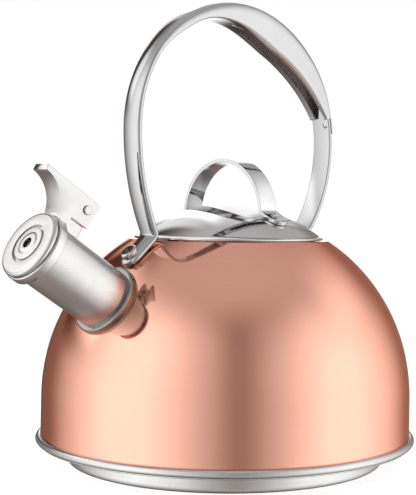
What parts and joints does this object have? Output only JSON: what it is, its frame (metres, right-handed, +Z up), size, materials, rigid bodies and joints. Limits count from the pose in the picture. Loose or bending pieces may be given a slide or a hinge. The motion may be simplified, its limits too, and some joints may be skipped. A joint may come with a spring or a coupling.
{
  "type": "stovetop whistling kettle",
  "caption": "Stovetop whistling kettle: polished dome body, lift-off lid with a strap knob, arched fixed handle, and a spout closed by a sprung whistle cap on a trigger.",
  "frame": {"origin": "middle of the base disc's underside, where the kettle rests", "axes": "+Z up; the spout points towards -X and the handle lies in the XZ plane"},
  "size_m": [0.2303, 0.195, 0.2375],
  "materials": {
    "copper_body": "gloss copper-coloured coat",
    "chrome": "mirror",
    "satin_steel": "satin",
    "polished_steel": "polished",
    "aluminium_core": "plain",
    "spring_steel": "drawn wire"
  },
  "bodies": {
    "kettle": {"body_shell": "copper_body", "base_pan": "satin_steel", "base_core": "aluminium_core", "base_capsule": "satin_steel", "spout_tube": "satin_steel", "spout_collar": "polished_steel", "hinge_bracket": "polished_steel", "hinge_pin": "polished_steel", "return_spring": "spring_steel", "handle_strap": "chrome", "handle_grip": "chrome", "grip_rivet": "polished_steel", "handle_screws": "polished_steel", "screw_washers": "polished_steel", "screw_nuts": "polished_steel"},
    "whistle": {"trigger_lever": "polished_steel", "whistle_band": "polished_steel", "whistle_face": "polished_steel", "whistle_plate": "polished_steel"},
    "lid": {"lid_shell": "chrome", "lid_skirt": "satin_steel", "lid_strap": "chrome", "lid_rivets": "chrome"}
  },
  "joints": [
    {"name": "whistle_trigger", "type": "hinge", "parent": "kettle", "child": "whistle", "pos_m": [-0.09564, 0, 0.12805], "axis": [0, 1, 0], "range_deg": [0, 60], "stiffness_Nm_per_rad": 0.05, "springref_deg": -34.38, "deforming": ["return_spring"]},
    {"name": "lid_lift", "type": "slide", "parent": "kettle", "child": "lid", "axis": [0, 0, 1], "range_m": [0, 0.045]}
  ]
}
